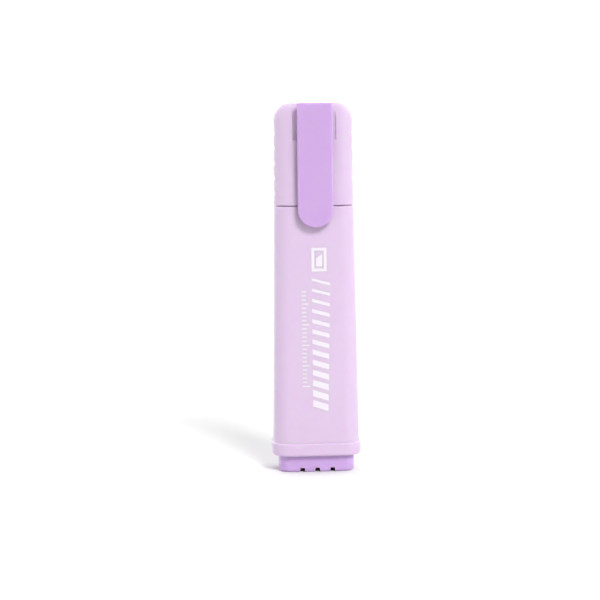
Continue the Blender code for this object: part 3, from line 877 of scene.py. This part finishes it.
# ---- End plug ----
@dataclass
class EndPlug:
    """The cup pressed into the barrel's rear, which the pen stands on."""

    at: Frame
    body: Plan = Plan(22.9 * MM, 13.6 * MM, 2.8 * MM)
    height: float = 13.1 * MM
    rim_round: float = 0.85 * MM
    inner_round: float = 0.2 * MM
    wall: float = 1.4 * MM
    skirt_wall: float = 1.2 * MM
    hollow: float = 5.0 * MM
    web: float = 1.3 * MM
    notch_pitch: float = 4.6 * MM
    notch_foot: float = 1.7 * MM
    notch_head: float = 1.3 * MM
    notch_height: float = 1.3 * MM

    def rings(self) -> list[list[Vector]]:
        """Rings from the hollow's ceiling, round the rim, up the outside and into the skirt.

        Returns:
            The rings in order.
        """
        below = self.body.inset(self.wall)
        above = self.body.inset(self.skirt_wall)
        fillet, lead = 0.4 * MM, 0.4 * MM
        rings = list(reversed(below.rounded(fillet, self.hollow, -fillet, 4)))
        rings += below.rounded(-self.inner_round, 0.0, self.inner_round, 3)
        rings += reversed(self.body.rounded(self.rim_round, 0.0, self.rim_round, 6))
        rings += [self.body.ring(self.height * share) for share in (0.2, 0.45, 0.7)]
        rings += self.body.rounded(lead / 2, self.height, -lead, 3)
        rings += [above.ring(self.height), above.ring(self.hollow + self.web)]
        return rings

    def notch(self, middle: float) -> BMesh:
        """A cutter through both wide walls, a little wider at the rim.

        Args:
            middle: where the notch's middle is across the plug.

        Returns:
            The cutter.
        """
        past = 1.0 * MM
        reach = self.body.depth / 2 + past
        slope = (self.notch_foot - self.notch_head) / 2 / self.notch_height
        foot, head = self.notch_foot / 2 + slope * past, self.notch_head / 2
        corners = ((middle - foot, -past), (middle + foot, -past),
                   (middle + head, self.notch_height), (middle - head, self.notch_height))
        return extruded([Vector((x, -reach, z)) for x, z in corners], Vector((0, 2 * reach, 0)))

    def build(self) -> Object:
        """Makes the plug."""
        bm = combined(loft(self.rings()), "DIFFERENCE",
                      [self.notch(self.notch_pitch * place) for place in (-1, 0, 1)])
        return mount(finished("end_plug_moulding", bm, Finish.PLUG, self.at), "pen_body",
                     "end_plug")


# ---- Nib and its holder ----
@dataclass
class WritingEnd:
    """The nib holder, the chisel nib, and the reservoir that feeds it."""

    at: Frame
    shank: float = 4.2 * MM
    collar: float = 4.7 * MM
    collar_length: float = 3.2 * MM
    nose: float = 3.5 * MM
    nib_width: float = 4.6 * MM
    nib_depth: float = 3.4 * MM
    nib_slope: float = 3.2 * MM
    nib_round: float = 0.4 * MM
    fit: float = 0.3 * MM

    def holder(self) -> Object:
        """The turned sleeve: shank, sealing collar and tapered nose, with a channel for the nib.

        Returns:
            The holder.
        """
        low, high = (corner[2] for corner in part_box("nib_holder"))
        foot = self.at.neck_top + self.fit
        top, edge = foot + self.collar_length, 0.3 * MM
        under, fillet, nose = 0.15 * MM, 0.1 * MM, 0.35 * MM
        profile = [(0.0, low), (self.shank - edge, low), (self.shank, low + edge),
                   (self.shank, foot)]
        profile += [(self.collar - under + under * rise, foot + under * inset)
                    for inset, rise in edge_round(3)]
        profile += [(self.collar - edge * inset, top - edge * (1 - rise))
                    for inset, rise in edge_round(5)]
        profile += [(self.shank + fillet, top), (self.shank, top + fillet)]
        profile += [(self.nose + nose - nose * inset, high - nose * (1 - rise))
                    for inset, rise in edge_round(5)]
        profile.append((0.0, high))
        room = self.fit * 0.6
        x, y = self.nib_width / 2 + room, self.nib_depth / 2 + room
        channel = block((-x, -y, low - MM), (x, y, high + MM))
        bm = combined(turned(profile), "DIFFERENCE", [channel])
        return mount(finished("nib_holder_moulding", bm, Finish.LILAC, self.at), "pen_body",
                     "nib_holder")

    def nib(self) -> Object:
        """The flat bar of fibre with a slanted, slightly rounded end.

        Returns:
            The nib.
        """
        low, high = (corner[2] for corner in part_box("nib"))
        x, y = self.nib_width / 2, self.nib_depth / 2
        corners = ((-x, low), (x, low), (x, high), (-x, high - self.nib_slope))
        bm = extruded([Vector((px, -y, pz)) for px, pz in corners], Vector((0, 2 * y, 0)))
        round_edges(bm, bm.edges, self.nib_round, 4)
        return mount(finished("chisel_nib", bm, Finish.NIB, self.at), "pen_body",
                     "nib")

    def dress_reservoir(self) -> None:
        """Gives the fibre bundle and its film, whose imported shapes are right, their materials."""
        for node, finish in (("reservoir_core", Finish.CORE), ("reservoir_film", Finish.FILM)):
            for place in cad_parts[node].material_slots:
                place.material = dressed(finish)

    def build(self) -> None:
        """Makes the writing end."""
        self.holder()
        self.nib()
        self.dress_reservoir()


# ---- Cap ----
@dataclass
class Cap:
    """The cap's shell with its grip grooves, sunk panel and clip slot, and the sealing cup."""

    at: Frame
    mouth: Plan = Plan(24.1 * MM, 15.4 * MM, 4.4 * MM)
    narrowing: float = 0.3 * MM
    round_across: float = 4.9 * MM
    round_front: float = 2.4 * MM
    foot_round: float = 0.2 * MM
    wall: float = 1.4 * MM
    straight_length: float = 10 * MM
    inner_edge: float = 0.25 * MM
    roof: float = 1.7 * MM
    panel_half: float = 6.45 * MM  # middle of the sloping edge
    panel_slope: float = 0.4 * MM
    panel_depth: float = 0.6 * MM
    panel_height: float = 11.1 * MM
    panel_foot_slope: float = 0.5 * MM
    panel_step: float = 0.06 * MM  # between rings across the panel's foot
    groove_count: int = 5
    groove_lowest: float = 85.0 * MM
    groove_pitch: float = 4.5 * MM
    groove_width: float = 1.7 * MM
    groove_depth: float = 0.3 * MM
    groove_step: float = 0.13 * MM  # between rings across a groove
    least_step: float = 0.05 * MM
    rail_half: float = 2.5 * MM
    head_half: float = 3.9 * MM
    lip: float = 1.0 * MM
    head_room: float = 1.9 * MM
    slot_height: float = 8.4 * MM
    cup_inner: float = 5.0 * MM
    cup_wall: float = 0.8 * MM
    cup_flange: float = 1.1 * MM
    cup_fit: float = 0.3 * MM
    cup_edge: float = 0.3 * MM
    cup_round: float = 0.6 * MM
    overlap: float = 0.3 * MM  # how far the slot's housing runs into the wall in front of it

    def plan(self, height: float) -> Plan:
        """The section of the straight sides at a height.

        Args:
            height: a height above the floor.

        Returns:
            The section there.
        """
        share = (height - self.at.cap_foot) / (self.at.cap_top - self.at.cap_foot)
        narrow = self.narrowing * share
        return Plan(self.mouth.width - narrow, self.mouth.depth - narrow, self.mouth.corner)

    def groove(self, height: float) -> float:
        """How deep the grip grooves are at a height.

        Args:
            height: a height above the floor.

        Returns:
            The depth, or 0 between grooves.
        """
        radius = (self.groove_width ** 2 / 4 + self.groove_depth ** 2) / (2 * self.groove_depth)
        number = round((height - self.groove_lowest) / self.groove_pitch)
        number = min(max(number, 0), self.groove_count - 1)
        away = height - self.groove_lowest - number * self.groove_pitch
        if abs(away) > radius:
            return 0.0
        depth = self.groove_depth - radius + math.sqrt(radius ** 2 - away ** 2)
        soft = 0.05 * MM
        return 0.5 * (depth + math.sqrt(depth ** 2 + soft ** 2)) if depth > -4 * soft else 0.0

    def shaped(self, ring: Sequence[Vector], height: float) -> list[Vector]:
        """Presses the grooves and the sunk panel into a ring of the outside.

        Args:
            ring: the plain ring.
            height: its height.

        Returns:
            The shaped ring.
        """
        half = self.plan(height).width / 2
        side_limit = half - self.groove(height)
        floor = self.mouth.depth / 2 - self.panel_depth
        panel_foot = self.at.cap_top - self.panel_height
        up = smooth((height - panel_foot) / self.panel_foot_slope + 0.5)
        shaped = []
        for point in ring:
            x, y = point.x, point.y
            over = abs(x) - side_limit
            soft = 0.04 * MM
            if over > -6 * soft and side_limit < half - 0.001 * MM:
                over = 0.5 * (over + math.sqrt(over ** 2 + soft ** 2))
                x = math.copysign(abs(x) - over, x)
            inside = smooth((self.panel_half - abs(x)) / self.panel_slope + 0.5)
            if y < 0 and up * inside > 0 and -y > floor:
                y = -(-y - up * inside * (-y - floor))
            shaped.append(Vector((x, y, height)))
        return shaped

    def levels(self) -> list[float]:
        """Heights of the outside's rings below the rounded top edge.

        Returns:
            The heights, rising, closest at the grooves and the panel's foot.
        """
        low = self.at.cap_foot + self.foot_round
        high = self.at.cap_top - self.round_across
        found = [low + (high - low) * step / 12 for step in range(1, 13)]
        for number in range(self.groove_count):
            middle = self.groove_lowest + number * self.groove_pitch
            found += [middle + self.groove_step * step for step in range(-9, 10)]
        foot = self.at.cap_top - self.panel_height
        found += [foot + self.panel_step * step for step in range(-6, 7)]
        kept: list[float] = []
        for height in sorted(found):
            if low < height <= high and (not kept or height - kept[-1] > self.least_step):
                kept.append(height)
        return kept

    def rings(self) -> list[list[Vector]]:
        """Rings from the ceiling down the inside, round the foot, up the outside, over the top.

        Returns:
            The rings in order.
        """
        top, foot = self.at.cap_top, self.at.cap_foot
        ceiling, shoulder = top - self.roof, top - self.round_across - self.roof
        inner, straight = self.wall, foot + self.straight_length
        roof = self.plan(ceiling).inset(inner + self.round_across / 2, inner + self.round_front / 2)
        rings = [
            roof.ring(ceiling),
            self.plan(shoulder).inset(inner).ring(shoulder),
            self.plan(straight).inset(inner).ring(straight),
        ]
        mouth = self.plan(foot)
        edge = self.inner_edge
        rings += [mouth.inset(inner - edge * inset).ring(foot + edge * (1 - rise))
                  for inset, rise in edge_round(3)]
        rings += reversed(mouth.rounded(self.foot_round, foot, self.foot_round, 4))
        rings += [self.shaped(self.plan(height).ring(height), height) for height in self.levels()]
        for inset, rise in edge_round(16)[1:]:
            height = top - self.round_across * (1 - rise)
            plan = self.plan(height).inset(self.round_across * inset, self.round_front * inset)
            rings.append(self.shaped(plan.ring(height), height))
        return rings

    def shell(self) -> Object:
        """The cap's shell, with the T-slot that the clip's rail slides into.

        Returns:
            The shell.
        """
        top, past = self.at.cap_top, 1.0 * MM
        panel_y = self.mouth.depth / 2 - self.panel_depth
        lip_back = panel_y - self.lip
        foot = top - self.slot_height
        back = lip_back - self.head_room
        socket = block((-self.head_half - MM, -lip_back - self.overlap, foot - MM),
                       (self.head_half + MM, -back + MM, top - self.roof / 2))
        bm = combined(loft(self.rings()), "UNION", [socket])
        slots = [
            block((-self.rail_half, -self.mouth.depth / 2 - past, foot),
                  (self.rail_half, -lip_back + 0.1 * MM, top + past)),
            block((-self.head_half, -lip_back, foot), (self.head_half, -back, top + past)),
        ]
        bm = combined(bm, "DIFFERENCE", slots)
        return mount(finished("cap_moulding", bm, Finish.PALE, self.at), "cap",
                     "cap_shell")

    def liner(self) -> Object:
        """The inner cap: a round cup with a flange of the cap's inside shape.

        Returns:
            The inner cap.
        """
        low, high = (corner[2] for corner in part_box("inner_cap"))
        seat = self.plan(low).inset(self.wall + self.cup_fit)
        outer = self.cup_inner + self.cup_wall
        edge, end = self.cup_edge, self.cup_round
        rings = [seat.circle(self.cup_inner - end, high - self.cup_wall),
                 seat.circle(self.cup_inner, high - self.cup_wall - end),
                 seat.circle(self.cup_inner, low + edge)]
        rings += [seat.circle(self.cup_inner + edge * inset, low + edge * (1 - rise))
                  for inset, rise in edge_round(3)[1:]]
        rings += reversed(seat.rounded(edge, low, edge, 3))
        flange_top = low + self.cup_flange
        rings += [seat.ring(flange_top), seat.circle(outer + edge, flange_top),
                  seat.circle(outer, flange_top + edge), seat.circle(outer, high - end)]
        rings += [seat.circle(outer - end * inset, high - end * (1 - rise))
                  for inset, rise in edge_round(4)[1:]]
        return mount(finished("inner_cap_moulding", loft(rings), Finish.NATURAL, self.at), "cap",
                     "inner_cap")

    def build(self) -> None:
        """Makes the cap."""
        self.shell()
        self.liner()


# ---- Clip ----
@dataclass
class Clip:
    """The flat clip with a rounded end, its root and T-rail in the cap, and its grip nub."""

    at: Frame
    thickness: float = 1.7 * MM
    end_length: float = 5.0 * MM
    end_steps: int = 40
    edge: float = 0.55 * MM
    back_edge: float = 0.2 * MM
    root_height: float = 8.0 * MM
    root_edge: float = 0.15 * MM
    face_y: float = 7.7 * MM
    panel_depth: float = 0.6 * MM
    swing: float = 0.4 * MM
    lip: float = 1.0 * MM
    fit: float = 0.3 * MM
    rail_half: float = 2.2 * MM
    head_half: float = 3.6 * MM
    head: float = 1.2 * MM
    nub_radius: float = 0.9 * MM
    nub_half: float = 2.5 * MM
    nub_over_foot: float = 3.825 * MM

    def plate(self, half: float, low: float, high: float, front: float) -> BMesh:
        """The plate, its edges rounded more at the front than at the back.

        Args:
            half: half its width.
            low: the height of its rounded end.
            high: the height of its top.
            front: where its front face is.

        Returns:
            The plate.
        """
        points = [Vector((half, front, high)), Vector((-half, front, high))]
        for step in range(self.end_steps + 1):
            angle = math.pi * (1 + step / self.end_steps)
            points.append(Vector((half * math.cos(angle), front,
                                  low + self.end_length * (1 + math.sin(angle)))))
        bm = extruded(points, Vector((0, self.thickness, 0)))
        back = front + self.thickness
        for place, width, segments in ((front, self.edge, 5), (back, self.back_edge, 3)):
            edges = [edge for edge in bm.edges
                     if all(abs(vert.co.y - place) < 0.01 * MM for vert in edge.verts)]
            round_edges(bm, edges, width, segments)
        return bm

    def build(self) -> Object:
        """Makes the clip.

        Returns:
            The clip.
        """
        low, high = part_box("clip")
        half, front = (high[0] - low[0]) / 2, low[1] - self.at.axis_y
        inside = front + self.thickness / 2
        top, foot = high[2] - self.edge, self.at.cap_top - self.root_height
        root_back = -(self.face_y - self.panel_depth + self.swing)
        lip_back = -(self.face_y - self.panel_depth - self.lip)
        head_front = lip_back + self.fit
        root = block((-half + self.edge, inside, foot), (half - self.edge, root_back, top),
                     self.root_edge)
        rail = block((-self.rail_half, inside, foot),
                     (self.rail_half, head_front + self.head / 2, top))
        head = block((-self.head_half, head_front, foot),
                     (self.head_half, head_front + self.head, top))
        nub = bmesh.new()
        bmesh.ops.create_cone(nub, cap_ends=True, segments=48, radius1=self.nub_radius,
                              radius2=self.nub_radius, depth=2 * self.nub_half)
        bmesh.ops.rotate(nub, cent=(0, 0, 0), matrix=Matrix.Rotation(math.pi / 2, 3, "Y"),
                         verts=nub.verts)
        bmesh.ops.translate(nub, vec=(0, -(self.face_y + self.fit + self.nub_radius),
                                      self.at.cap_foot + self.nub_over_foot), verts=nub.verts)
        bm = combined(self.plate(half, low[2], high[2], front), "UNION", [root, rail, head, nub])
        return mount(finished("clip_moulding", bm, Finish.LILAC, self.at), "pocket_clip",
                     "clip")


# ---- Studio ----
@dataclass
class Studio:
    """White floor, bright backdrop, dimmer room, one soft key light, and the camera.

    Angles are in degrees, turned to the right from straight in front.
    """

    axis_y: float
    distance: float = 550 * MM
    azimuth: float = -4.0
    eye: float = 106 * MM
    target: tuple[float, float, float] = (-4.4 * MM, 0.0, 52.1 * MM)
    roll: float = 0.68
    lens: float = 108.4
    key_azimuth: float = 20.0
    key_elevation: float = 38.0
    key_size: float = 20.0
    key_power: float = 2.9
    room: float = 0.54
    backdrop: float = 1.75
    blend: float = 0.12
    floor_half: float = 6.0
    paper: str = "#DCDCDC"
    skirting: float = 1.05
    skirting_reach: tuple[float, float] = (0.15, 0.3)

    def floor(self) -> None:
        """A wide white floor."""
        bm = bmesh.new()
        bmesh.ops.create_grid(bm, x_segments=1, y_segments=1, size=self.floor_half)
        mesh = bpy.data.meshes.new("studio_floor")
        bm.to_mesh(mesh)
        bm.free()
        floor = bpy.data.objects.new("studio_floor", mesh)
        bpy.context.scene.collection.objects.link(floor)
        material, _, shader = blank_material("studio_white_paper")
        feed(shader, Base_Color=linear(self.paper), Roughness=1.0, Specular_IOR_Level=0.0)
        mesh.materials.append(material)

    def lights(self) -> None:
        """The room in front, the brighter backdrop behind, and the soft key."""
        scene = bpy.context.scene
        world = bpy.data.worlds.new("studio_surround")
        world.use_nodes = True
        tree = world.node_tree
        way = add_node(tree, "ShaderNodeSeparateXYZ",
                       Vector=add_node(tree, "ShaderNodeTexCoord").outputs["Generated"])
        smoothly = {"interpolation_type": "SMOOTHSTEP"}
        glow = add_node(tree, "ShaderNodeMapRange", smoothly, Value=way.outputs["Y"],
                        From_Min=-self.blend, From_Max=self.blend, To_Min=self.room,
                        To_Max=self.backdrop)
        # A white skirting runs all round past the floor's edge: every side has a plain ground.
        skirting = add_node(tree, "ShaderNodeMapRange", smoothly, Value=way.outputs["Z"],
                            From_Min=self.skirting_reach[0], From_Max=self.skirting_reach[1],
                            To_Min=self.skirting, To_Max=0.0)
        brighter = add_node(tree, "ShaderNodeMath", {"operation": "MAXIMUM"})
        for socket, source in zip(brighter.inputs, (glow, skirting)):
            tree.links.new(source.outputs["Result"], socket)
        feed(tree.nodes["Background"], Color=(1.0, 1.0, 1.0, 1.0),
             Strength=brighter.outputs["Value"])
        scene.world = world
        light = bpy.data.lights.new("studio_key", "SUN")
        light.angle, light.energy = math.radians(self.key_size), self.key_power
        key = bpy.data.objects.new("studio_key", light)
        turn, rise = math.radians(self.key_azimuth), math.radians(self.key_elevation)
        place = Vector((math.sin(turn) * math.cos(rise), -math.cos(turn) * math.cos(rise),
                        math.sin(rise)))
        key.location = place
        key.visible_glossy = False
        key.rotation_euler = place.to_track_quat("Z", "Y").to_euler()
        scene.collection.objects.link(key)
        scene.view_settings.view_transform = "Standard"
        scene.view_settings.look = "None"

    def camera(self) -> None:
        """A long lens, nearly level, a few degrees to the left of straight on."""
        lens = bpy.data.cameras.new("studio_camera")
        lens.lens, lens.sensor_width = self.lens, 36.0
        lens.clip_start, lens.clip_end = 0.01, 50.0
        camera = bpy.data.objects.new("studio_camera", lens)
        turn = math.radians(self.azimuth)
        place = Vector((self.distance * math.sin(turn),
                        self.axis_y - self.distance * math.cos(turn), self.eye))
        away = place - (Vector(self.target) + Vector((0, self.axis_y, 0)))
        upright = away.to_track_quat("Z", "Y").to_matrix()
        camera.location = place
        tilt = Matrix.Rotation(math.radians(-self.roll), 3, "Z")
        camera.rotation_euler = (upright @ tilt).to_euler()
        bpy.context.scene.collection.objects.link(camera)
        bpy.context.scene.camera = camera

    def build(self) -> None:
        """Sets up the studio."""
        self.floor()
        self.lights()
        self.camera()


def main() -> None:
    """Builds the pen and the studio."""
    logging.basicConfig(level=logging.INFO, format="%(name)s: %(message)s")
    at = Frame.read()
    Studio(at.axis_y).build()
    barrel = Barrel(at)
    barrel.build()
    FrontPrint(barrel).build()
    EndPlug(at).build()
    WritingEnd(at).build()
    Cap(at).build()
    Clip(at).build()


if __name__ == "__main__":
    main()
